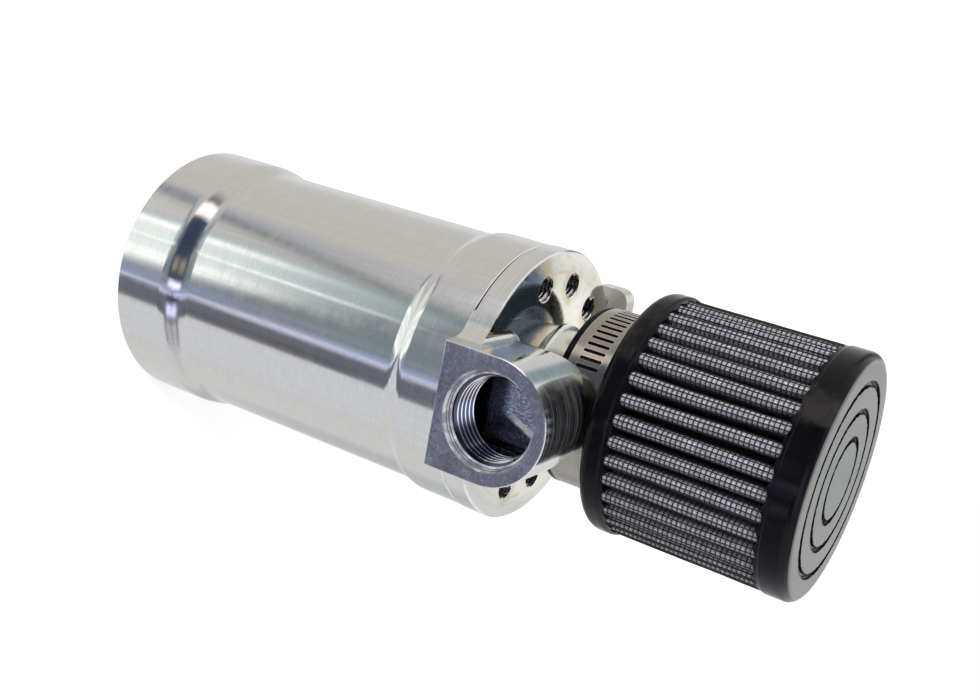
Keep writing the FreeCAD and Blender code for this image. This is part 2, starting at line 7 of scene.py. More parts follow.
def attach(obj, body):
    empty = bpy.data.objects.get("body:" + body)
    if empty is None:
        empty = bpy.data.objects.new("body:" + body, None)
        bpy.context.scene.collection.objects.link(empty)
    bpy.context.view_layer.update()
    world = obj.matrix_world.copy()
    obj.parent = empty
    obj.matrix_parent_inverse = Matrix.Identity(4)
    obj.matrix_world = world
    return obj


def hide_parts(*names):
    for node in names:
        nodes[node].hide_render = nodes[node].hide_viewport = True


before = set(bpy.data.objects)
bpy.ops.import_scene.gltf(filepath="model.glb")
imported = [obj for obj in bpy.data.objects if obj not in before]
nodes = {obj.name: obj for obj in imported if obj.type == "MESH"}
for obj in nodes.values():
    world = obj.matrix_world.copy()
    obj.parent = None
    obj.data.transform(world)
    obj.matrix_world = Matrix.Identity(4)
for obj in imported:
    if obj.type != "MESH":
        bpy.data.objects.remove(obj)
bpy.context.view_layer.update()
bpy.context.scene.view_settings.view_transform = "Standard"
mm = 0.001
filterAxis = (0, 9.8)          # x and y of the neck and the filter, in mm
portHeight = 154.05            # z of the port's axis, in mm
clothScale = 10 * mm           # one unit of the unfolded cloth is 100 mm
softNoise.seed_set(3)          # so that the unevenness is the same on each run

# Camera, fitted to the outlines of the can, the lid and the port
cameraSettings = {
    "place": (-103.193, -337.721, 311.423),  # mm
    "turn": (-34.9613, -56.8152, 109.8611),  # degrees
    "lens": 44.80,
    "shiftX": -0.00415,
    "shiftY": 0.08394,
}


def addCamera(s):
    data = bpy.data.cameras.new("camera")
    data.sensor_width = 36
    data.lens = s["lens"]
    data.shift_x = s["shiftX"]
    data.shift_y = s["shiftY"]
    data.clip_start = 0.01
    data.clip_end = 20
    camera = bpy.data.objects.new("camera", data)
    camera.location = Vector(s["place"]) * mm
    camera.rotation_euler = [math.radians(a) for a in s["turn"]]
    bpy.context.scene.collection.objects.link(camera)
    bpy.context.scene.camera = camera


addCamera(cameraSettings)
print("camera placed")


# Short ways to write node trees
def feed(tree, made, **inputs):
    # Links or sets inputs by their label, or by their number where the name is i0, i1 and so on
    for key, value in inputs.items():
        byNumber = key[0] == "i" and key[1:].isdigit()
        socket = made.inputs[int(key[1:]) if byNumber else key.replace("_", " ")]
        if isinstance(value, bpy.types.NodeSocket):
            tree.links.new(value, socket)
        else:
            socket.default_value = value


def addNode(tree, kind, settings=None, **inputs):
    made = tree.nodes.new(kind)
    for key, value in (settings or {}).items():
        setattr(made, key, value)
    feed(tree, made, **inputs)
    return made


def calc(tree, operation, a, b=0.0, c=0.0):
    return addNode(tree, "ShaderNodeMath", {"operation": operation}, i0=a, i1=b, i2=c).outputs[0]


def times(tree, a, b):
    return calc(tree, "MULTIPLY", a, b)


def plus(tree, a, b):
    return calc(tree, "ADD", a, b)


def less(tree, a, b):
    return calc(tree, "SUBTRACT", a, b)


def most(tree, a, b):
    return calc(tree, "MAXIMUM", a, b)


def ease(tree, value, low, high, start=0.0, stop=1.0):
    # From start to stop while the value goes from low to high
    return addNode(tree, "ShaderNodeMapRange", {"interpolation_type": "SMOOTHSTEP"}, i0=value, i1=low, i2=high,
                   i3=start, i4=stop).outputs[0]


def mixColour(tree, factor, a, b, blend="MIX"):
    settings = {"data_type": "RGBA", "blend_type": blend}
    return addNode(tree, "ShaderNodeMix", settings, i0=factor, i6=a, i7=b).outputs[2]


def mixValue(tree, factor, a, b):
    return addNode(tree, "ShaderNodeMix", i0=factor, i2=a, i3=b).outputs[0]


def noise(tree, vector, scale, detail=3.0, rough=0.55, distort=0.0):
    return addNode(tree, "ShaderNodeTexNoise", Vector=vector, Scale=scale, Detail=detail, Roughness=rough,
                   Distortion=distort).outputs["Fac"]


def stretched(tree, vector, scale, turn=(0, 0, 0)):
    return addNode(tree, "ShaderNodeMapping", Vector=vector, Rotation=turn, Scale=scale).outputs[0]


def splitAxes(tree, vector):
    return tuple(addNode(tree, "ShaderNodeSeparateXYZ", i0=vector).outputs)


def grey(value):
    return (value, value, value, 1)


def newMaterial(name):
    material = bpy.data.materials.new(name)
    material.use_nodes = True
    tree = material.node_tree
    return material, tree, tree.nodes["Principled BSDF"]


def meshObject(name, bm, smooth=None):
    bmesh.ops.recalc_face_normals(bm, faces=bm.faces)
    mesh = bpy.data.meshes.new(name)
    bm.to_mesh(mesh)
    bm.free()
    if smooth is not None:
        mesh.shade_smooth()
        mesh.set_sharp_from_angle(angle=math.radians(smooth))
    made = bpy.data.objects.new(name, mesh)
    bpy.context.scene.collection.objects.link(made)
    return made


# Studio: a pale floor, white to the camera all round, and soft boxes and dark gaps for the metal to show
studio = {
    "floorSize": 6.0,
    "floorColour": (0.80, 0.80, 0.80, 1),
    "floorLift": 0.42,      # added for the camera only, so that the open floor is white
    "fill": 0.80,
    "below": (0.775, 0.78, 0.77, 1),
    "above": (1.0, 0.99, 0.97, 1),
    "streaks": 0.10,        # unevenness of the boxes from side to side
    "leanFrom": -38,        # elevation at which a leaning box has its stated middle
    "boxes": [              # middle, half width, lean, lowest, highest, softness of the sides and ends, colour
        ("warmWall", 165, 50, 0, -80, 0, 10, 5, (0.70, 0.67, 0.63, 1)),
        ("dimWall", 36, 16, 0, -38, 0, 10, 5, (0.58, 0.60, 0.61, 1)),
        ("paleLow", -42, 18, 0, -80, -5, 5, 8, (0.79, 0.80, 0.84, 1)),
        ("coolWall", -165, 8, 1.0, -80, -10, 6, 5, (0.57, 0.58, 0.61, 1)),
        ("tealWall", -119, 25, 0, -80, -27, 6, 4, (0.48, 0.58, 0.60, 1)),
        ("underLight", -118, 62, 0, -88, -46.5, 12, 2.5, (0.96, 1.0, 0.96, 1)),
        ("wideBox", -122, 20, -0.6, -80, -39.0, 4, 3.2, (1.12, 1.21, 1.17, 1)),
        ("leftBox", -136, 2.6, 0, -80, -38, 3, 2.5, (1.55, 1.55, 1.48, 1)),
        ("thinBox", -121, 1.3, 0, -80, -33, 2, 4, (1.36, 1.42, 1.36, 1)),
        ("rightBox", -110, 4.8, -0.9, -80, -39.4, 3.5, 2.4, (1.55, 1.56, 1.50, 1)),
        ("slateLow", -100, 12, 0, -36.2, -24, 6, 2.5, (0.25, 0.30, 0.33, 1)),
        ("darkLine", -155, 4.5, 2.4, -50, -12, 4.5, 5, (0.20, 0.23, 0.26, 1)),
        ("slateRise", -97.5, 8.5, -3.0, -50, -24, 3, 5, (0.22, 0.25, 0.28, 1)),
        ("slateGap", -87.5, 5, 0, -56, 8, 4, 6, (0.27, 0.31, 0.38, 1)),
        ("slateBlue", -87, 3, 0, -52, -40, 4, 2, (0.36, 0.41, 0.60, 1)),
        ("darkRoom", -102, 68, 0, -22.5, 6, 10, 3, (0.045, 0.045, 0.07, 1)),
        ("darkSide", -12, 46, 0, -19, -11, 8, 3, (0.66, 0.66, 0.70, 1)),
        ("paleFold", -14, 44, 0, -6, 26, 8, 5, (1.02, 0.99, 1.06, 1)),
        ("blueGap", -122, 34, 0, -25, 6, 7, 4, (0.045, 0.065, 0.115, 1)),
        ("darkRise", -112, 52, 0, 6, 85, 10, 8, (0.13, 0.13, 0.17, 1)),
        ("darkTop", 73, 62, 0, 46, 85, 15, 6, (0.14, 0.14, 0.19, 1)),
        ("pinkBox", -156, 7, 0, -26, 10, 4, 4, (1.70, 1.52, 1.46, 1)),
        ("brownPatch", -104, 6, 0, -18, -8, 4, 3, (0.42, 0.34, 0.29, 1)),
        ("lilacPatch", -66, 5, 0, -18, -6, 4, 3, (1.30, 1.25, 1.85, 1)),
        ("highBox", -84, 22, 0, 28, 62, 12, 10, (1.50, 1.58, 1.85, 1)),
        ("farDark", 81, 10, 0, 27.2, 46, 3, 1.4, (0.05, 0.09, 0.16, 1)),
        ("lowWall", 63.5, 5, 0, 21, 31, 3, 3, (0.74, 0.76, 0.78, 1)),
        ("capWall", 72, 10, 0, 2, 19, 4, 3, (0.76, 0.77, 0.77, 1)),
        ("steelWall", 112, 26, 0, -4, 10, 10, 3, (0.28, 0.35, 0.37, 1)),
        ("foldBox", -87, 3.5, 0, -20, 20, 2.5, 5, (1.55, 1.55, 1.95, 1)),
        ("violetWide", -81.5, 3.6, 0, -36.0, -8, 2.6, 3, (0.40, 0.445, 0.64, 1)),
        ("violetBox", -80, 1.1, 0, -80, -6, 2.2, 6, (0.74, 0.82, 1.20, 1)),
        ("violetGap", -68, 8.5, 0, -80, -18, 2.0, 6, (0.17, 0.18, 0.225, 1)),
        ("brownGap", -64, 4.0, 0, -41, -35, 2.5, 3, (0.125, 0.12, 0.125, 1)),
    ],
    "key": {"place": (-0.55, -0.35, 0.75), "aim": (0, 0, 0.12), "size": 0.5, "power": 6.0},
}


def addStudio(s):
    world = bpy.data.worlds.new("studio")
    bpy.context.scene.world = world
    world.use_nodes = True
    tree = world.node_tree
    tree.nodes.clear()
    x, y, z = splitAxes(tree, addNode(tree, "ShaderNodeTexCoord").outputs["Generated"])
    degree = 180 / math.pi
    turn = times(tree, calc(tree, "ARCTAN2", y, x), degree)
    rise = times(tree, calc(tree, "ARCSINE", z), degree)
    seen = mixColour(tree, ease(tree, rise, -6, 6), s["below"], s["above"])
    for name, middle, half, lean, low, high, soft, softUp, colour in s["boxes"]:
        centre = calc(tree, "MULTIPLY_ADD", rise, lean, middle - s["leanFrom"] * lean)
        off = calc(tree, "ABSOLUTE", calc(tree, "WRAP", less(tree, turn, centre), 180.0, -180.0))
        across = ease(tree, off, half + soft, half - soft)
        bottom = ease(tree, rise, low - softUp, low + softUp)
        top = ease(tree, rise, high + softUp, high - softUp)
        seen = mixColour(tree, times(tree, across, times(tree, bottom, top)), seen, colour)
        seen.node.label = name
    lines = addNode(tree, "ShaderNodeTexNoise", {"noise_dimensions": "1D"}, W=turn, Scale=0.55, Detail=2.0)
    uneven = ease(tree, lines.outputs["Fac"], 0.25, 0.75, 1 - s["streaks"], 1 + s["streaks"])
    seen = mixColour(tree, 1.0, seen, uneven, "MULTIPLY")
    path = addNode(tree, "ShaderNodeLightPath").outputs
    light = mixColour(tree, path["Is Glossy Ray"], grey(s["fill"]), seen)
    for ray in ("Is Camera Ray", "Is Transmission Ray"):
        light = mixColour(tree, path[ray], light, grey(1))
    back = addNode(tree, "ShaderNodeBackground", Color=light, Strength=1.0)
    addNode(tree, "ShaderNodeOutputWorld", Surface=back.outputs[0])

    key = s["key"]
    lamp = bpy.data.lights.new("key", "AREA")
    lamp.shape = "DISK"
    lamp.size = key["size"]
    lamp.energy = key["power"]
    lampObject = bpy.data.objects.new("key", lamp)
    lampObject.location = key["place"]
    way = Vector(key["aim"]) - Vector(key["place"])
    lampObject.rotation_euler = way.to_track_quat("-Z", "Y").to_euler()
    lampObject.visible_glossy = False
    bpy.context.scene.collection.objects.link(lampObject)

    bm = bmesh.new()
    bmesh.ops.create_grid(bm, x_segments=1, y_segments=1, size=s["floorSize"] / 2)
    floor = meshObject("floor", bm)
    floor.visible_glossy = False
    material, tree, shader = newMaterial("paleFloor")
    toCamera = addNode(tree, "ShaderNodeLightPath").outputs["Is Camera Ray"]
    feed(tree, shader, Base_Color=s["floorColour"], Roughness=0.9, Specular_IOR_Level=0.1,
         Emission_Color=grey(1), Emission_Strength=times(tree, toCamera, s["floorLift"]))
    floor.data.materials.append(material)


addStudio(studio)
print("studio lit")


# Effects that several finishes share
def newGroup(name, inputs, outputs):
    tree = bpy.data.node_groups.new(name, "ShaderNodeTree")
    for label, kind, value in inputs:
        socket = tree.interface.new_socket(name=label, in_out="INPUT", socket_type="NodeSocket" + kind)
        if value is not None:
            socket.default_value = value
    for label, kind in outputs:
        tree.interface.new_socket(name=label, in_out="OUTPUT", socket_type="NodeSocket" + kind)
    return tree, tree.nodes.new("NodeGroupInput").outputs, tree.nodes.new("NodeGroupOutput").inputs


def useGroup(tree, group, **inputs):
    return addNode(tree, "ShaderNodeGroup", {"node_tree": group}, **inputs).outputs


def makeFineGrain():
    # Fine even grain, eased between two values
    tree, given, result = newGroup(
        "fineGrain",
        [("Place", "Vector", None), ("Size", "Float", 0.001), ("From", "Float", 0.2), ("To", "Float", 0.3)],
        [("Value", "Float")])
    grain = noise(tree, given["Place"], calc(tree, "DIVIDE", 1.0, given["Size"]), 3.0, 0.6)
    tree.links.new(ease(tree, grain, 0.3, 0.7, given["From"], given["To"]), result["Value"])
    return tree


def makeToolLines():
    # Lines left by a turning or milling tool: fine ones, and broader bands, across one direction
    tree, given, result = newGroup(
        "toolLines",
        [("Across", "Float", 0.0), ("Along", "Float", 0.0), ("Pitch", "Float", 0.0002)],
        [("Fine", "Float"), ("Broad", "Float")])
    across = calc(tree, "DIVIDE", given["Across"], given["Pitch"])
    for label, wide, long, detail, rough in (("Fine", 1.0, 1.2, 3.0, 0.6), ("Broad", 0.06, 0.4, 2.0, 0.5)):
        x, y = times(tree, across, wide), times(tree, given["Along"], long)
        where = addNode(tree, "ShaderNodeCombineXYZ", X=x, Y=y).outputs[0]
        tree.links.new(noise(tree, where, 1.0, detail, rough), result[label])
    return tree


def makeEdgeWearAndHighlight():
    # Where an edge is rubbed bright: partly wear, partly a painted highlight along the edge
    tree, given, result = newGroup(
        "edgeWearAndHighlight", [("Width", "Float", 0.0003), ("Place", "Vector", None)], [("Mask", "Float")])
    rounded = addNode(tree, "ShaderNodeBevel", {"samples": 4}, Radius=given["Width"]).outputs[0]
    plain = addNode(tree, "ShaderNodeNewGeometry").outputs["Normal"]
    dot = addNode(tree, "ShaderNodeVectorMath", {"operation": "DOT_PRODUCT"}, i0=rounded, i1=plain)
    edge = ease(tree, dot.outputs["Value"], 0.985, 0.90)
    broken = ease(tree, noise(tree, given["Place"], 900, 2.0), 0.35, 0.6, 0.35, 1.0)
    tree.links.new(times(tree, edge, broken), result["Mask"])
    return tree


def makeScratches():
    # Thin scratches in two directions, and small nicks
    tree, given, result = newGroup(
        "scratches", [("Place", "Vector", None), ("Amount", "Float", 0.5)], [("Mask", "Float")])
    total = 0.0
    for turn, scale in (((0.3, 0.5, 0.4), (90, 2600, 2600)), ((1.1, -0.4, 0.9), (2400, 110, 2400))):
        lines = noise(tree, stretched(tree, given["Place"], scale, turn), 1.0, 1.0)
        total = plus(tree, total, ease(tree, lines, 0.70, 0.78))
    nicks = ease(tree, noise(tree, given["Place"], 1500, 2.0), 0.72, 0.80)
    total = times(tree, plus(tree, total, nicks), given["Amount"])
    tree.links.new(calc(tree, "MINIMUM", total, 1.0), result["Mask"])
    return tree


fineGrain = makeFineGrain()
toolLines = makeToolLines()
edgeWearAndHighlight = makeEdgeWearAndHighlight()
scratches = makeScratches()


def grainy(tree, place, size, low, high):
    return useGroup(tree, fineGrain, Place=place, Size=size, From=low, To=high)["Value"]


def scratched(tree, place, tone, amount, colour):
    return mixColour(tree, useGroup(tree, scratches, Place=place, Amount=amount)["Mask"], tone, colour)


def wornAndHighlightedEdges(tree, place, tone, width, share, colour):
    # the edge colour stands for wear and for a painted edge highlight
    wornAndHighlighted = useGroup(tree, edgeWearAndHighlight, Width=width, Place=place)["Mask"]
    return mixColour(tree, times(tree, wornAndHighlighted, share), tone, colour)


def objectPlace(tree):
    place = addNode(tree, "ShaderNodeTexCoord").outputs["Object"]
    return (place, *splitAxes(tree, place))


def farFrom(tree, a, b, middleA=0.0, middleB=0.0):
    # Distance in a plane from a point given in millimetres
    a = less(tree, a, middleA * mm)
    b = less(tree, b, middleB * mm)
    return calc(tree, "SQRT", plus(tree, times(tree, a, a), times(tree, b, b)))


def within(tree, value, low, high, soft=0.1):
    # 1 between two values in millimetres
    up = ease(tree, value, (low - soft) * mm, (low + soft) * mm)
    down = ease(tree, value, (high + soft) * mm, (high - soft) * mm)
    return times(tree, up, down)


def filterTurn(tree, x, y):
    # Angle round the filter's axis
    return calc(tree, "ARCTAN2", less(tree, y, filterAxis[1] * mm), x)


def bumpFrom(tree, shader, height, strength, depth):
    bump = addNode(tree, "ShaderNodeBump", Strength=strength, Distance=depth * mm, Height=height)
    tree.links.new(bump.outputs[0], shader.inputs["Normal"])


# The can's polish, with the fine lines of its turning
canFinish = {
    "dark": (0.67, 0.675, 0.67, 1),
    "light": (0.75, 0.75, 0.745, 1),
    "band": (0.67, 0.67, 0.66, 1),
    "warm": (0.715, 0.705, 0.68, 1),
    "scratch": (0.86, 0.86, 0.86, 1),
    "edge": (0.90, 0.90, 0.89, 1),
    "linePitch": 0.00026,
    "roughness": (0.10, 0.135),
}


def turnedAluminium(s):
    material, tree, shader = newMaterial("turnedAluminium")
    place, x, y, z = objectPlace(tree)
    tangent = addNode(tree, "ShaderNodeTangent", {"direction_type": "RADIAL", "axis": "Z"}).outputs[0]
    turn = calc(tree, "ARCTAN2", y, x)
    lines = useGroup(tree, toolLines, Across=z, Along=times(tree, turn, 6.0), Pitch=s["linePitch"])
    tone = mixColour(tree, ease(tree, lines["Fine"], 0.3, 0.7), s["dark"], s["light"])
    tone = mixColour(tree, ease(tree, lines["Broad"], 0.4, 0.75, 0, 0.25), tone, s["band"])
    tone = mixColour(tree, ease(tree, noise(tree, place, 22, 2.0), 0.4, 0.7, 0, 0.5), tone, s["warm"])
    tone = scratched(tree, place, tone, 0.22, s["scratch"])
    # bright edges: wear and a painted edge highlight
    tone = wornAndHighlightedEdges(tree, place, tone, 0.0005, 0.6, s["edge"])
    hair = noise(tree, stretched(tree, place, (120, 120, 2600)), 1.0, 2.0, 0.6)
    rough = grainy(tree, place, 0.004, *s["roughness"])
    rough = plus(tree, rough, ease(tree, lines["Broad"], 0.45, 0.75, 0.0, 0.02))
    feed(tree, shader, Anisotropic=0.75, Anisotropic_Rotation=0.25, Tangent=tangent, Base_Color=tone,
         Metallic=ease(tree, hair, 0.54, 0.74, 1.0, 0.90), Roughness=rough)
    bumpFrom(tree, shader, lines["Fine"], 0.10, 0.012)
    return material


# The lid's own finish: cream milled face with stains round its holes and a painted dark reflection with a
# painted bluish sheen, darker machined front, a chamber painted dark as shade with a painted lit patch and
# highlight, and painted reflection streaks on the boss
lidFinish = {
    "body": (0.65, 0.66, 0.65, 1),
    "bodyLight": (0.82, 0.82, 0.80, 1),
    "bodyBand": (0.62, 0.65, 0.65, 1),
    "face": (0.82, 0.81, 0.735, 1),
    "faceLight": (0.90, 0.89, 0.83, 1),
    "faceRim": (0.70, 0.70, 0.66, 1),
    "stain": (0.62, 0.47, 0.27, 1),
    # painted dark reflection of the filter on the face, and its bluish painted sheen
    "reflectedDark": (0.075, 0.155, 0.27, 1),
    "reflectedSheen": (0.20, 0.32, 0.55, 1),
    "front": (0.54, 0.555, 0.615, 1),
    "frontDark": (0.33, 0.34, 0.385, 1),
    "frontPale": (0.78, 0.79, 0.90, 1),
    "frontLight": (0.72, 0.70, 0.78, 1),
    "frontGrain": (0.27, 0.28, 0.33, 1),
    "frontRubbed": (0.95, 0.94, 1.0, 1),
    # chamber tones: painted shade, and a painted lit patch with its highlight
    "chamber": (0.045, 0.05, 0.075, 1),
    "chamberSpeck": (0.30, 0.32, 0.40, 1),
    "chamberLit": ((0.15, 0.175, 0.30, 1), (0.70, 0.78, 1.0, 1)),
    "seat": ((0.34, 0.35, 0.42, 1), (0.97, 0.97, 0.99, 1)),
    "seatLine": (0.10, 0.10, 0.13, 1),
    "seatPitch": 0.00082,
    # colour of the painted reflection streaks along the boss
    "bossReflectionStreak": (0.58, 0.66, 0.86, 1),
    "bar": (0.60, 0.575, 0.51, 1),
    "barLight": (0.68, 0.645, 0.575, 1),
    "scratch": (0.88, 0.88, 0.86, 1),
    "edge": (0.93, 0.93, 0.92, 1),
    "holes": ((32.65, -8.75), (32.65, 8.75), (23.9, 23.9)),   # stained round, on both sides
    # middle of the stain ring and of the painted dark reflection, in mm
    "stainAndReflectionMiddle": (-26, -21),
    "faceLevels": (143.6, 143.85),      # z between which the milled face lies, in mm
    "frontLevels": (-48.95, -48.75),    # y of the machined front, and of the parts behind it
    "seatLevels": (-48.7, -45.8),
    "bossLevels": (-48.5, -26),
    "chamberLevels": (-35.5, -30.6),
}


def machinedAluminium(s):
    material, tree, shader = newMaterial("machinedAluminium")
    place, x, y, z = objectPlace(tree)
    fromPort = farFrom(tree, x, z, 0, portHeight)
    cloud = noise(tree, place, 70, 3.0, 0.6)
    above = ease(tree, z, 0.1439, 0.1443)
    across = mixValue(tree, above, z, y)
    side = useGroup(tree, toolLines, Across=across, Along=times(tree, x, 60.0), Pitch=0.00018)
    tone = mixColour(tree, ease(tree, side["Fine"], 0.25, 0.75), s["body"], s["bodyLight"])
    tone = mixColour(tree, ease(tree, side["Broad"], 0.4, 0.7, 0, 0.35), tone, s["bodyBand"])

    # milled face, with arcs of the cutter near the rim
    radius = farFrom(tree, x, y)
    arcs = useGroup(tree, toolLines, Across=radius, Along=calc(tree, "ARCTAN2", y, x), Pitch=0.00035)
    onFace = within(tree, z, *s["faceLevels"], 0.05)
    face = mixColour(tree, ease(tree, arcs["Fine"], 0.3, 0.7, 0.0, 0.35), s["face"], s["faceLight"])
    outer = times(tree, ease(tree, radius, 0.0372, 0.0395), ease(tree, arcs["Broad"], 0.4, 0.6))
    face = mixColour(tree, outer, face, s["faceRim"])
    ringLine = times(tree, within(tree, radius, 37.2, 38.2, 0.5), ease(tree, cloud, 0.4, 0.6))
    stain = times(tree, ringLine, 0.55)
    fold = calc(tree, "ABSOLUTE", x)
    for hx, hy in s["holes"]:
        near = ease(tree, farFrom(tree, fold, y, hx, hy), 0.0085, 0.0042)
        stain = most(tree, stain, times(tree, near, ease(tree, cloud, 0.38, 0.66, 0.0, 0.75)))
    stain = most(tree, stain, ease(tree, noise(tree, place, 45, 4.0, 0.65, 0.6), 0.56, 0.74, 0.0, 0.35))
    # round a point near the boss: a tan stain ring, and inside it a painted dark reflection of the filter with
    # a bluish painted sheen
    ragged = calc(tree, "MULTIPLY_ADD", noise(tree, place, 110, 4.0, 0.65), 0.010, -0.005)
    fromStainAndReflection = plus(tree, farFrom(tree, x, y, *s["stainAndReflectionMiddle"]), ragged)
    stain = most(tree, stain, times(tree, ease(tree, fromStainAndReflection, 0.0215, 0.0165), 0.75))
    face = mixColour(tree, stain, face, s["stain"])
    darkReflection = ease(tree, fromStainAndReflection, 0.0165, 0.0125, 0.0, 0.85)
    face = mixColour(tree, darkReflection, face, s["reflectedDark"])
    paintedSheen = noise(tree, stretched(tree, place, (160, 420, 400)), 1.0, 3.0, 0.6, 1.2)
    paintedSheen = times(tree, darkReflection, ease(tree, paintedSheen, 0.60, 0.74, 0.0, 0.45))
    tone = mixColour(tree, onFace, tone, mixColour(tree, paintedSheen, face, s["reflectedSheen"]))
    dull = times(tree, times(tree, onFace, darkReflection), 0.10)

    # machined front with nicks
    onFront = within(tree, y, *s["frontLevels"], 0.05)
    slanted = plus(tree, z, times(tree, x, 0.4))
    mill = useGroup(tree, toolLines, Across=slanted, Along=times(tree, x, 90.0), Pitch=0.0003)
    front = mixColour(tree, ease(tree, cloud, 0.38, 0.62), s["front"], s["frontDark"])
    pale = ease(tree, noise(tree, place, 48, 3.0, 0.6), 0.46, 0.60, 0.0, 0.55)
    front = mixColour(tree, pale, front, s["frontPale"])
    front = mixColour(tree, ease(tree, mill["Fine"], 0.50, 0.75, 0.0, 0.85), front, s["frontLight"])
    grains = ease(tree, noise(tree, place, 1300, 3.0, 0.8), 0.36, 0.62, 0.6, 0.0)
    front = mixColour(tree, grains, front, s["frontGrain"])
    rubbedSpots = times(tree, ease(tree, noise(tree, place, 900, 3.0, 0.7), 0.57, 0.70), 0.7)
    front = mixColour(tree, rubbedSpots, front, s["frontRubbed"])
    tone = mixColour(tree, onFront, tone, front)

    # bar at the rear
    onBar = times(tree, ease(tree, y, 0.0378, 0.0384), ease(tree, z, 0.1437, 0.1441))
    tone = mixColour(tree, onBar, tone, mixColour(tree, ease(tree, cloud, 0.35, 0.65), s["bar"], s["barLight"]))
    dull = most(tree, dull, times(tree, onBar, 0.35))

    # chamber, painted dark as shade, with a painted lit patch that ends in a painted highlight (the glint)
    inChamber = times(tree, within(tree, y, *s["chamberLevels"], 0.15), ease(tree, fromPort, 0.0150, 0.0144))
    passage = times(tree, within(tree, x, -11.2, 11.2), ease(tree, z, 0.1640, 0.1635))
    inChamber = most(tree, inChamber, times(tree, within(tree, y, *s["chamberLevels"], 0.1), passage))
    speck = ease(tree, noise(tree, stretched(tree, place, (2400, 1600, 900)), 1.0, 3.0, 0.7), 0.42, 0.66)
    slant = less(tree, x, times(tree, less(tree, z, 0.160), 0.45))
    lit = times(tree, ease(tree, z, 0.1480, 0.1512), ease(tree, slant, 0.0074, 0.0060))
    lit = times(tree, lit, ease(tree, x, -0.0130, -0.0095))
    litPatchTone = mixColour(tree, speck, *s["chamberLit"])
    glint = times(tree, within(tree, slant, 4.4, 6.4, 0.7), ease(tree, z, 0.1510, 0.1550))
    litPatchTone = mixColour(tree, times(tree, glint, ease(tree, speck, 0.1, 0.6, 0.7, 1.0)), litPatchTone, grey(1))
    dim = mixColour(tree, times(tree, speck, 0.3), s["chamber"], s["chamberSpeck"])
    tone = mixColour(tree, inChamber, tone, mixColour(tree, lit, dim, litPatchTone))
    dull = most(tree, dull, times(tree, times(tree, inChamber, lit), 0.90))

    # seat round the port, with the lines of its turning
    seat = times(tree, within(tree, y, *s["seatLevels"], 0.1), ease(tree, fromPort, 0.0160, 0.0154))
    seatTone = mixColour(tree, ease(tree, noise(tree, place, 150, 3.0, 0.65), 0.38, 0.62), *s["seat"])
    seatLine = ease(tree, calc(tree, "SINE", times(tree, y, 2 * math.pi / s["seatPitch"])), -0.2, 0.8)
    seatLine = times(tree, seatLine, ease(tree, y, -0.0479, -0.0474, 0.0, 0.85))
    tone = mixColour(tree, seat, tone, mixColour(tree, seatLine, seatTone, s["seatLine"]))
    dull = most(tree, dull, times(tree, seat, 0.42))

    # painted highlight streaks along the boss, standing in for reflections
    onBoss = times(tree, within(tree, y, *s["bossLevels"], 0.3), ease(tree, fromPort, 0.0165, 0.0170))
    onBoss = times(tree, onBoss, ease(tree, z, 0.1441, 0.1460))
    reflectionStreak = noise(tree, stretched(tree, place, (45, 1500, 45)), 1.0, 3.0, 0.7)
    reflectionStreak = times(tree, onBoss, ease(tree, reflectionStreak, 0.46, 0.70, 0.01, 0.12))
    dull = most(tree, dull, reflectionStreak)
    tone = mixColour(tree, times(tree, reflectionStreak, 4.0), tone, s["bossReflectionStreak"])
    tone = scratched(tree, place, tone, 0.5, s["scratch"])
    # bright edges: wear and a painted edge highlight
    tone = wornAndHighlightedEdges(tree, place, tone, 0.0004, 0.85, s["edge"])

    rough = times(tree, grainy(tree, place, 0.0015, 0.09, 0.16), mixValue(tree, onFace, 1.0, 0.65))
    rough = plus(tree, rough, times(tree, onFront, ease(tree, cloud, 0.35, 0.65, 0.06, 0.20)))
    onNeck = ease(tree, farFrom(tree, x, y, *filterAxis), 0.0245, 0.0225)
    onNeck = most(tree, onNeck, ease(tree, z, 0.1490, 0.1465))
    onNeck = times(tree, onNeck, times(tree, ease(tree, z, 0.1438, 0.1442), ease(tree, y, -0.0485, -0.0470)))
    for area, added in ((inChamber, 0.15), (seat, 0.25), (onBar, 0.18), (onNeck, 0.16)):
        rough = plus(tree, rough, times(tree, area, added))
    feed(tree, shader, Base_Color=tone, Metallic=less(tree, 1.0, dull), Roughness=rough)
    height = mixValue(tree, onFace, side["Fine"], arcs["Fine"])
    height = mixValue(tree, onFront, height, mill["Fine"])
    pitted = times(tree, speck, calc(tree, "MULTIPLY_ADD", lit, 20.0, 4.0))
    bumpFrom(tree, shader, plus(tree, height, times(tree, inChamber, pitted)), 0.16, 0.014)
    return material


def threadMetal(thread):
    # Painted shade in the roots and a bright tone on the crests, by the distance from the hole's axis
    material, tree, shader = newMaterial("portThreadMetal")
    place, x, y, z = objectPlace(tree)
    out = farFrom(tree, x, z, thread["place"][0], thread["place"][2])
    rootShade = ease(tree, out, (thread["crest"] + 0.03) * mm, (thread["crest"] + 0.34) * mm)
    feed(tree, shader, Metallic=1, Base_Color=mixColour(tree, rootShade, thread["light"], thread["dark"]),
         Roughness=grainy(tree, place, 0.0012, 0.10, 0.20))
    return material


plainFinishes = {          # dark tone, light tone, roughness
    "holeThreadMetal": ((0.46, 0.46, 0.47, 1), (0.62, 0.62, 0.61, 1), 0.18),
    "punchedSheet": ((0.56, 0.56, 0.55, 1), (0.68, 0.68, 0.67, 1), 0.26),
    "platedSteel": ((0.50, 0.50, 0.48, 1), (0.64, 0.64, 0.63, 1), 0.22),
    "stainlessScrew": ((0.44, 0.42, 0.39, 1), (0.58, 0.55, 0.52, 1), 0.22),
}


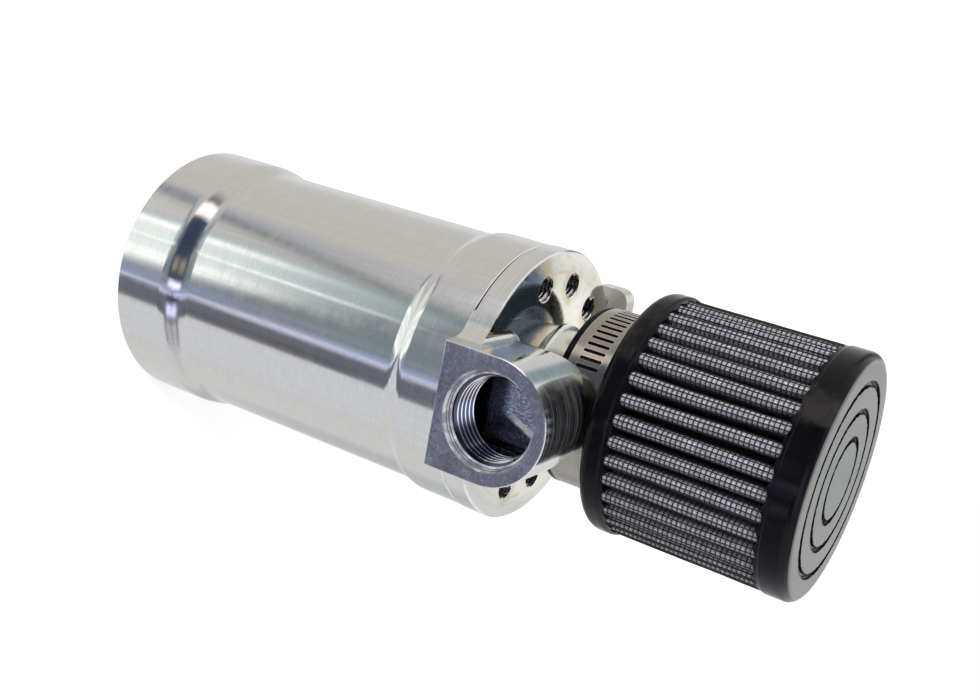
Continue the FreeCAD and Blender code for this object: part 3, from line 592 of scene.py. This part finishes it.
def shaded(colour, share):
    return [min(1.0, c * share) for c in colour[:3]] + [1]


def plainMetal(name):
    material, tree, shader = newMaterial(name)
    place = objectPlace(tree)[0]
    dark, light, rough = plainFinishes[name]
    tone = mixColour(tree, ease(tree, noise(tree, place, 140, 3.0), 0.3, 0.7), dark, light)
    # bright edges: wear and a painted edge highlight
    tone = wornAndHighlightedEdges(tree, place, tone, 0.0003, 0.6, shaded(light, 1.3))
    grain = grainy(tree, place, 0.0012, rough - 0.05, rough + 0.07)
    feed(tree, shader, Metallic=1, Base_Color=tone, Roughness=grain)
    bumpFrom(tree, shader, grain, 0.2, 0.01)
    return material


clampFinish = {
    "dark": (0.28, 0.265, 0.24, 1),
    "light": (0.46, 0.43, 0.39, 1),
    "warm": (0.46, 0.41, 0.36, 1),
    "edge": (0.86, 0.80, 0.72, 1),
    "roughness": (0.15, 0.23),
}


def brushedStainless(s):
    material, tree, shader = newMaterial("brushedStainless")
    place, x, y, z = objectPlace(tree)
    lines = useGroup(tree, toolLines, Across=z, Along=times(tree, filterTurn(tree, x, y), 2.0), Pitch=0.00012)
    tone = mixColour(tree, ease(tree, lines["Fine"], 0.25, 0.75), s["dark"], s["light"])
    tone = mixColour(tree, ease(tree, noise(tree, place, 60, 2.0), 0.4, 0.7, 0.0, 0.5), tone, s["warm"])
    # bright edges: wear and a painted edge highlight
    tone = wornAndHighlightedEdges(tree, place, tone, 0.0005, 0.9, s["edge"])
    rough = ease(tree, lines["Fine"], 0.3, 0.7, *s["roughness"])
    feed(tree, shader, Metallic=1, Base_Color=tone, Roughness=rough)
    bumpFrom(tree, shader, lines["Fine"], 0.25, 0.012)
    return material


rubberFinish = {
    "black": (0.0018, 0.0018, 0.0024, 1),
    "lighter": (0.0040, 0.0038, 0.0048, 1),
    "dusty": (0.026, 0.023, 0.022, 1),
    # grey painted sheen of the cap's top face
    "face": (0.150, 0.154, 0.153, 1),
    "faceLevel": 240.95,
    "shine": 0.14,
    "tint": (0.86, 0.88, 1.0, 1),
    "grooves": (12.9, 21.3, 29.7),
}


def mouldedRubber(s):
    material, tree, shader = newMaterial("mouldedRubber")
    place, x, y, z = objectPlace(tree)
    tone = mixColour(tree, ease(tree, noise(tree, place, 75, 3.0), 0.3, 0.7), s["black"], s["lighter"])
    dusty = ease(tree, noise(tree, place, 34, 4.0, 0.62), 0.55, 0.68)
    tone = mixColour(tree, times(tree, dusty, 0.75), tone, s["dusty"])
    # the top face is painted grey: a painted sheen on the black rubber
    onFace = ease(tree, z, (s["faceLevel"] - 0.4) * mm, s["faceLevel"] * mm)
    faceSheen = mixColour(tree, noise(tree, place, 400), s["face"], shaded(s["face"], 0.86))
    tone = mixColour(tree, onFace, tone, faceSheen)
    out = farFrom(tree, x, y, *filterAxis)
    uneven = calc(tree, "MULTIPLY_ADD", noise(tree, place, 700, 2.0, 0.7), 0.0011, -0.00055)
    # the grooves are painted black a little wider than their cut, as painted shade
    groove = 0.0
    for radius in s["grooves"]:
        off = calc(tree, "ABSOLUTE", less(tree, out, radius * mm))
        near = ease(tree, plus(tree, off, uneven), 0.00110, 0.00085)
        groove = most(tree, groove, near)
        tone = mixColour(tree, near, tone, s["black"])
    grain = grainy(tree, place, 0.0016, 0.10, 0.17)
    rough = plus(tree, grain, times(tree, dusty, 0.14))
    faceRough = calc(tree, "MULTIPLY_ADD", groove, 0.7, times(tree, grain, 1.1))
    feed(tree, shader, Specular_IOR_Level=s["shine"], Specular_Tint=s["tint"], Base_Color=tone,
         Roughness=mixValue(tree, onFace, rough, faceRough))
    dip = times(tree, times(tree, groove, onFace), -6.0)
    bumpFrom(tree, shader, plus(tree, noise(tree, place, 900, 3.0, 0.6), dip), 0.12, 0.03)
    return material


def sealRubber():
    material, tree, shader = newMaterial("sealRubber")
    place = objectPlace(tree)[0]
    tone = mixColour(tree, noise(tree, place, 300), (0.008, 0.008, 0.009, 1), (0.016, 0.016, 0.017, 1))
    feed(tree, shader, Base_Color=tone, Roughness=grainy(tree, place, 0.001, 0.28, 0.42))
    return material


wool = {
    # painted shade between the strands
    "gap": (0.03, 0.03, 0.03, 1),
    "strand": (0.58, 0.56, 0.53, 1),
    "ways": (              # turn and scale of each direction of strands
        ((0, 0, 0.8), (300, 2600, 900)),
        ((0.7, 0.2, -0.6), (2400, 350, 800)),
        ((0.2, 1.0, 0.3), (900, 2300, 300)),
    ),
}


def wireWool(s):
    # Knitted wire, seen as a tangle of bright strands over gaps painted dark as shade
    material, tree, shader = newMaterial("wireWool")
    place = objectPlace(tree)[0]
    strands = 0.0
    for turn, scale in s["ways"]:
        lines = noise(tree, stretched(tree, place, scale, turn), 1.0, 1.0, 0.5, 0.4)
        strands = most(tree, strands, ease(tree, lines, 0.50, 0.64))
    feed(tree, shader, Metallic=1, Base_Color=mixColour(tree, strands, s["gap"], s["strand"]), Roughness=0.35)
    bumpFrom(tree, shader, strands, 0.8, 0.4)
    return material


tube = {
    "dark": (0.50, 0.50, 0.49, 1),
    "light": (0.62, 0.62, 0.60, 1),
    # painted shade for the inside seen through each hole
    "hole": (0.01, 0.01, 0.01, 1),
    "row": 0.0042,         # from row to row
    "gap": 0.0043,         # from hole to hole
    "around": 36,
    "holeEdge": (0.0014, 0.0012),
}


def punchedTube(s):
    # Support tube of punched steel: rows of round holes, painted dark as the shade seen through them
    material, tree, shader = newMaterial("punchedTube")
    place, x, y, z = objectPlace(tree)
    row = calc(tree, "DIVIDE", z, s["row"])
    shift = times(tree, calc(tree, "MODULO", calc(tree, "FLOOR", row), 2.0), 0.5)
    column = calc(tree, "MULTIPLY_ADD", filterTurn(tree, x, y), s["around"] / (2 * math.pi), shift)
    across, up = (less(tree, calc(tree, "FRACT", part), 0.5) for part in (column, row))
    hole = ease(tree, farFrom(tree, times(tree, across, s["gap"]), times(tree, up, s["row"])), *s["holeEdge"])
    tone = mixColour(tree, noise(tree, place, 200), s["dark"], s["light"])
    feed(tree, shader, Metallic=1, Base_Color=mixColour(tree, hole, tone, s["hole"]),
         Roughness=grainy(tree, place, 0.001, 0.25, 0.4))
    return material


# Filter: pleated gauze under coated wire, held in rubber at both ends
filterShape = {
    "middle": filterAxis,
    "pleats": 36,
    "tip": 37.85,
    "depth": 10.25,
    "tipRound": 1.9,
    "rootHalf": 0.55,
    "low": 178.8,          # the gauze runs into the rubber at both ends
    "high": 235.2,
    "rubberLow": 182.15,
    "rubberHigh": 231.85,
}
wireShape = {
    "pitch": 1.52,
    "width": 0.28,
    "stand": 0.16,         # how far the wire's middle stands off the gauze
    "wander": 0.10,
}


def wobble(x, y, z):
    # Small unevenness that all of the filter's layers share
    turn = math.atan2(y, x)
    return (0.0045 * math.sin(7 * turn + 0.9) + 0.004 * math.sin(13 * turn + 0.05 * z)
            + 0.003 * math.sin(0.09 * z + 5 * turn))


def placeOnFilter(bm, shape, wander=0.0):
    # Bends the pleats a little, then moves them from the filter's own axis to their place
    for vert in bm.verts:
        x, y, z = vert.co
        turn = wobble(x, y, z)
        x, y = x * math.cos(turn) - y * math.sin(turn), x * math.sin(turn) + y * math.cos(turn)
        co = Vector((x, y, z))
        if wander:
            co += softNoise.noise_vector(co * 0.35) * wander
        vert.co = (co + Vector((*shape["middle"], 0))) * mm


def onlyVerts(geom):
    return [g for g in geom if isinstance(g, bmesh.types.BMVert)]


def uprightEdges(bm):
    return [e for e in bm.edges if abs(e.verts[0].co.z - e.verts[1].co.z) > 0.001]


def pleatStrip(shape, out, low, high, arcSteps):
    # One pleat, from valley to valley: a strip of faces folded round the tip
    bm = bmesh.new()
    half = math.pi / shape["pleats"]
    root = shape["tip"] - shape["depth"] + out
    tip = shape["tip"] + out
    rounding = shape["tipRound"] + out
    rootHalf = max(shape["rootHalf"] - out, 0.1)
    points = []
    for side in (-1, 1):
        along = Vector((math.cos(half), side * math.sin(half), 0))
        across = Vector((along.y, -along.x, 0)) * side
        points.append([along * root, along * root + across * rootHalf, Vector((tip, side * rounding, 0))])
    path = points[0] + points[1][::-1]
    verts = [bm.verts.new(p + Vector((0, 0, low))) for p in path]
    edges = [bm.edges.new(pair) for pair in zip(verts, verts[1:])]
    grown = bmesh.ops.extrude_edge_only(bm, edges=edges)["geom"]
    bmesh.ops.translate(bm, verts=onlyVerts(grown), vec=(0, 0, high - low))
    corners = [e for e in uprightEdges(bm) if e.verts[0].co.x > tip - 0.01]
    bmesh.ops.bevel(bm, geom=corners, offset=rounding * 0.97, affect="EDGES", segments=arcSteps, profile=0.5,
                    material=-1)
    return bm


def stripChain(bm, low):
    # The strip's lower border as points in order, from one valley to the next
    border = [e for e in bm.edges if all(abs(v.co.z - low) < 0.001 for v in e.verts)]
    links = {}
    for edge in border:
        for vert in edge.verts:
            links.setdefault(vert, []).append(edge)
    here = min((v for v, es in links.items() if len(es) == 1), key=lambda v: v.co.y)
    chain, used = [here.co.copy()], set()
    while True:
        onward = [e for e in links[here] if e not in used]
        if not onward:
            return chain
        used.add(onward[0])
        here = onward[0].other_vert(here)
        chain.append(here.co.copy())


def roundTheFilter(bm, shape):
    # Repeats one pleat's work all round
    turn = 2 * math.pi / shape["pleats"]
    geom = bm.verts[:] + bm.edges[:] + bm.faces[:]
    bmesh.ops.spin(bm, geom=geom, cent=(0, 0, 0), axis=(0, 0, 1), angle=turn * (shape["pleats"] - 1),
                   steps=shape["pleats"] - 1, use_duplicate=True)


def addUnfolded(bm, low):
    # Distance along the fold and height, for patterns that follow the cloth
    chain = stripChain(bm, low)
    run = {}
    total = 0.0
    for i, point in enumerate(chain):
        total += (point - chain[i - 1]).length if i else 0
        run[(round(point.x, 4), round(point.y, 4))] = total
    layer = bm.loops.layers.uv.new("unfolded")
    for face in bm.faces:
        for loop in face.loops:
            co = loop.vert.co
            loop[layer].uv = (run[(round(co.x, 4), round(co.y, 4))] * clothScale, co.z * clothScale)


def makeGauze(shape):
    bm = pleatStrip(shape, 0.0, shape["low"], shape["high"], 6)
    addUnfolded(bm, shape["low"])
    bmesh.ops.subdivide_edges(bm, edges=uprightEdges(bm), cuts=14, use_grid_fill=True)
    roundTheFilter(bm, shape)
    bmesh.ops.remove_doubles(bm, verts=bm.verts, dist=0.01)
    placeOnFilter(bm, shape)
    return meshObject("gauze", bm, smooth=60)


def makeWireRings(shape, wire):
    bm = pleatStrip(shape, wire["stand"], 0, wire["width"], 4)
    count = int((shape["high"] - shape["low"]) / wire["pitch"])
    start = shape["low"] + wire["pitch"] / 2
    roundTheFilter(bm, shape)
    bmesh.ops.remove_doubles(bm, verts=bm.verts, dist=0.01)
    bmesh.ops.recalc_face_normals(bm, faces=bm.faces)
    bmesh.ops.solidify(bm, geom=bm.faces[:], thickness=wire["width"])
    one = bm.verts[:] + bm.edges[:] + bm.faces[:]
    bmesh.ops.translate(bm, verts=bm.verts, vec=(0, 0, start))
    for i in range(1, count):
        copied = bmesh.ops.duplicate(bm, geom=one)["geom"]
        bmesh.ops.translate(bm, verts=onlyVerts(copied), vec=(0, 0, i * wire["pitch"]))
    placeOnFilter(bm, shape, wire["wander"])
    return meshObject("wireRings", bm)


def makeWireLines(shape, wire):
    strip = pleatStrip(shape, wire["stand"], 0, 1, 6)
    chain = stripChain(strip, 0)
    strip.free()
    bm = bmesh.new()
    length = shape["high"] - shape["low"]
    step = wire["pitch"] / 2
    thick = wire["width"] * 0.7
    for start, stop in zip(chain, chain[1:]):
        while step < (stop - start).length:
            middle = start.lerp(stop, step / (stop - start).length)
            made = bmesh.ops.create_cone(bm, segments=4, radius1=thick, radius2=thick, depth=length)
            turn = math.atan2(stop.y - start.y, stop.x - start.x)
            bmesh.ops.rotate(bm, verts=made["verts"], cent=(0, 0, 0), matrix=Matrix.Rotation(turn, 3, "Z"))
            bmesh.ops.translate(bm, verts=made["verts"], vec=middle + Vector((0, 0, shape["low"] + length / 2)))
            step += wire["pitch"]
        step -= (stop - start).length
    bmesh.ops.subdivide_edges(bm, edges=uprightEdges(bm), cuts=9, use_grid_fill=True)
    roundTheFilter(bm, shape)
    placeOnFilter(bm, shape, wire["wander"])
    return meshObject("wireLines", bm)


rubberEdges = {
    "rings": 5,
    "steps": 8,            # to each pleat
    "outside": 38.25,
    "inside": 27.2,
    "climb": 2.1,          # how far the rubber creeps up a valley
    "rough": 0.35,
    "thick": 0.9,
    "sunk": 0.6,           # how far the border sits in the rubber
}


def makeRubberEdge(name, shape, edge, level, way):
    # Wavy border where the rubber runs up between the pleats
    bm = bmesh.new()
    around = shape["pleats"] * edge["steps"]
    start = bm.verts.new((edge["inside"], 0, 0))
    stop = bm.verts.new((edge["outside"], 0, 0))
    line = bm.edges.new((start, stop))
    bmesh.ops.subdivide_edges(bm, edges=[line], cuts=edge["rings"])
    bmesh.ops.spin(bm, geom=bm.verts[:] + bm.edges[:], cent=(0, 0, 0), axis=(0, 0, 1), angle=2 * math.pi,
                   steps=around, use_merge=True)
    grown = bmesh.ops.extrude_face_region(bm, geom=bm.faces[:])["geom"]
    for vert in onlyVerts(grown):
        radius = math.hypot(vert.co.x, vert.co.y)
        turn = math.atan2(vert.co.y, vert.co.x)
        valley = 0.5 - 0.5 * math.cos(shape["pleats"] * turn)
        inward = (edge["outside"] - radius) / (edge["outside"] - edge["inside"])
        climb = edge["climb"] * valley ** 0.8 * min(1.0, 0.45 + 1.8 * inward)
        rough = softNoise.noise_vector(vert.co * 0.5 + Vector((level, 0, 0))).x * edge["rough"]
        vert.co.z += edge["thick"] + climb + rough * (0.4 + inward)
    for vert in bm.verts:
        vert.co.z = level + way * (vert.co.z - edge["sunk"])
    placeOnFilter(bm, shape)
    return meshObject(name, bm, smooth=50)


collarLip = {
    "inside": 22.25,
    "outside": 29.3,
    "low": 156.5,
    "high": 158.8,         # just under the clamp's band
    "round": 0.9,
}


def makeCollarLip(shape, lip):
    # The collar's end, squeezed out below the clamp
    bm = bmesh.new()
    corners = (("inside", "low"), ("outside", "low"), ("outside", "high"), ("inside", "high"))
    verts = [bm.verts.new((lip[x], 0, lip[z])) for x, z in corners]
    bm.faces.new(verts)
    bmesh.ops.bevel(bm, geom=verts[1:3], offset=lip["round"], affect="VERTICES", segments=4, profile=0.5,
                    material=-1)
    bmesh.ops.spin(bm, geom=bm.edges[:], cent=(0, 0, 0), axis=(0, 0, 1), angle=2 * math.pi, steps=96,
                   use_merge=True)
    bmesh.ops.delete(bm, geom=[f for f in bm.faces if len(f.verts) > 4], context="FACES_ONLY")
    bmesh.ops.translate(bm, verts=bm.verts, vec=(*shape["middle"], 0))
    bmesh.ops.scale(bm, verts=bm.verts, vec=(mm, mm, mm))
    return meshObject("collarLip", bm, smooth=50)


clothFinish = {
    "dark": (0.18, 0.18, 0.215, 1),
    "light": (0.50, 0.50, 0.555, 1),
    "cloud": (0.31, 0.305, 0.34, 1),
    # painted shade along the wires
    "wireShade": (0.10, 0.10, 0.125, 1),
    "cells": (0.42, 0.78),                     # how much the openings differ, and the least
    # painted shade towards the pleats' valleys, a little lighter at the tips
    "valleyShade": (0.0334, 0.0376, 0.16, 1.08),   # from and to which radius they ease, and how bright
}


def wireGauzeMaterial(s):
    # Cotton that bulges a little through each opening of the wire
    material, tree, shader = newMaterial("cottonGauze")
    unfolded = splitAxes(tree, addNode(tree, "ShaderNodeUVMap", {"uv_map": "unfolded"}).outputs[0])
    swell = 1.0
    cells = []
    for along in unfolded[:2]:
        count = calc(tree, "DIVIDE", along, wireShape["pitch"] * clothScale)
        cells.append(calc(tree, "FLOOR", count))
        off = calc(tree, "MULTIPLY_ADD", calc(tree, "FRACT", count), 2.0, -1.0)
        swell = times(tree, swell, less(tree, 1.0, times(tree, off, off)))
    cell = addNode(tree, "ShaderNodeCombineXYZ", X=cells[0], Y=cells[1]).outputs[0]
    chance = addNode(tree, "ShaderNodeTexWhiteNoise", {"noise_dimensions": "2D"}, Vector=cell).outputs["Value"]
    place, x, y, z = objectPlace(tree)
    weave = noise(tree, stretched(tree, place, (1, 1, 1.6)), 2400, 3.0, 0.7)
    tone = mixColour(tree, ease(tree, weave, 0.3, 0.7), s["dark"], s["light"])
    tone = mixColour(tree, ease(tree, noise(tree, place, 160, 2.0), 0.3, 0.7, 0.0, 0.5), tone, s["cloud"])
    tone = mixColour(tree, 1.0, tone, calc(tree, "MULTIPLY_ADD", chance, *s["cells"]), "MULTIPLY")
    # darker near the wires: painted shade of the wires on the cotton
    tone = mixColour(tree, ease(tree, swell, 0.0, 0.16), s["wireShade"], tone)
    # painted shade in the valleys, and a little painted light on the tips, by the distance from the axis
    out = farFrom(tree, x, y, *filterAxis)
    tone = mixColour(tree, 1.0, tone, ease(tree, out, *s["valleyShade"]), "MULTIPLY")
    feed(tree, shader, Base_Color=tone, Roughness=0.85, Specular_IOR_Level=0.3)
    height = plus(tree, ease(tree, swell, 0.0, 0.7), times(tree, weave, 0.35))
    bumpFrom(tree, shader, height, 0.7, 0.16)
    return material


def blackWireMaterial():
    material, tree, shader = newMaterial("blackWire")
    feed(tree, shader, Base_Color=(0.010, 0.010, 0.013, 1), Roughness=0.5)
    return material


def give(piece, material, body, slot, *stands):
    piece.data.materials.append(material)
    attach(piece, body)
    if stands:
        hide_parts(*stands)


give(makeGauze(filterShape), wireGauzeMaterial(clothFinish), "lid_assembly", "cotton", "filter_media")
wireMaterial = blackWireMaterial()
give(makeWireRings(filterShape, wireShape), wireMaterial, "lid_assembly", "black_wire", "outer_mesh")
give(makeWireLines(filterShape, wireShape), wireMaterial, "lid_assembly", "black_wire", "outer_mesh")
rubber = mouldedRubber(rubberFinish)
for name, level, way in (("lowerRubberEdge", "rubberLow", 1), ("upperRubberEdge", "rubberHigh", -1)):
    edge = makeRubberEdge(name, filterShape, rubberEdges, filterShape[level], way)
    give(edge, rubber, "lid_assembly", "filter_rubber")
give(makeCollarLip(filterShape, collarLip), rubber, "lid_assembly", "filter_rubber")
print("filter made")

# Threads, as ridges that stand out of the plain holes
portThread = {
    "place": (0, -45.75, portHeight),
    "axis": (0, 1, 0),
    "wall": 13.49,
    "crest": 12.45,
    "pitch": 2.117,
    "turns": 4.9,
    "steps": 96,           # to each turn
    # the dark tone is painted shade in the roots, the light one the crests' own colour
    "dark": (0.07, 0.075, 0.10, 1),
    "light": (0.86, 0.87, 0.90, 1),
}
lidThread = {"start": 0.35, "axis": (0, 0, -1), "wall": 4.0, "crest": 3.38, "pitch": 1.25, "turns": 4.2,
             "steps": 36}
lidHoles = {"circle": 33.8, "angles": (-15, 15, 45, 135, 165, 195), "face": 143.75}
barThread = {"start": 0.3, "axis": (0, -1, 0), "wall": 3.0, "crest": 2.5, "pitch": 1.0, "turns": 9,
             "steps": 28}
barHoles = {"x": (-12.8, 21.2), "face": 44.7, "z": 139.85}
threadRoot = 0.12          # how far a ridge reaches into the wall


def addThread(bm, thread, place):
    # A ridge of one pitch, wound round the axis
    axis = Vector(thread["axis"])
    side = axis.orthogonal().normalized()
    pitch = thread["pitch"]
    back = thread["wall"] + threadRoot
    corners = [(back, 0.0), (thread["wall"], 0.03), (thread["crest"], 0.42), (thread["crest"], 0.55),
               (thread["wall"], 0.94), (back, 0.97)]
    verts = [bm.verts.new(Vector(place) + side * radius + axis * along * pitch) for radius, along in corners]
    profile = bm.faces.new(verts)
    around = int(thread["steps"] * thread["turns"])
    bmesh.ops.spin(bm, geom=[profile], cent=place, axis=axis, dvec=axis * pitch * thread["turns"] / around,
                   angle=2 * math.pi * thread["turns"], steps=around)


def threadObject(name, bm):
    bmesh.ops.scale(bm, verts=bm.verts, vec=(mm, mm, mm))
    return meshObject(name, bm, smooth=50)


def makeThreads():
    bm = bmesh.new()
    addThread(bm, portThread, portThread["place"])
    port = threadObject("portThread", bm)
    bm = bmesh.new()
    for angle in lidHoles["angles"]:
        turn = math.radians(angle)
        top = lidHoles["face"] - lidThread["start"]
        place = (lidHoles["circle"] * math.cos(turn), lidHoles["circle"] * math.sin(turn), top)
        addThread(bm, lidThread, place)
    lid = threadObject("lidHoleThreads", bm)
    bm = bmesh.new()
    for x in barHoles["x"]:
        addThread(bm, barThread, (x, barHoles["face"] - barThread["start"], barHoles["z"]))
    bar = threadObject("barHoleThreads", bm)
    return port, lid, bar


lidMaterial = machinedAluminium(lidFinish)
portThreadMetal = threadMetal(portThread)
holeThreadMetal = plainMetal("holeThreadMetal")
for piece, metal in zip(makeThreads(), (portThreadMetal, holeThreadMetal, holeThreadMetal)):
    give(piece, metal, "lid_assembly", "machined_aluminium")
print("threads cut")

# The finish of each solid
sheet = plainMetal("punchedSheet")
plated = plainMetal("platedSteel")
seal = sealRubber()
stainless = brushedStainless(clampFinish)
finishes = {
    "can_body": turnedAluminium(canFinish),
    "lid": lidMaterial,
    "baffle_standoffs": holeThreadMetal,
    "baffle_plate": sheet,
    "mesh_retainer": sheet,
    "filter_base": rubber,
    "filter_cap": rubber,
    "lid_seal": seal,
    "drain_seal": seal,
    "drain_plug": plated,
    "baffle_screws": plated,
    "retainer_screws": plated,
    "clamp_band": stainless,
    "clamp_housing": stainless,
    "clamp_screw": plainMetal("stainlessScrew"),
    "separator_mesh": wireWool(wool),
    "inner_mesh": punchedTube(tube),
}
for name, material in finishes.items():
    nodes[name].data.materials.clear()
    nodes[name].data.materials.append(material)
print("finishes given")
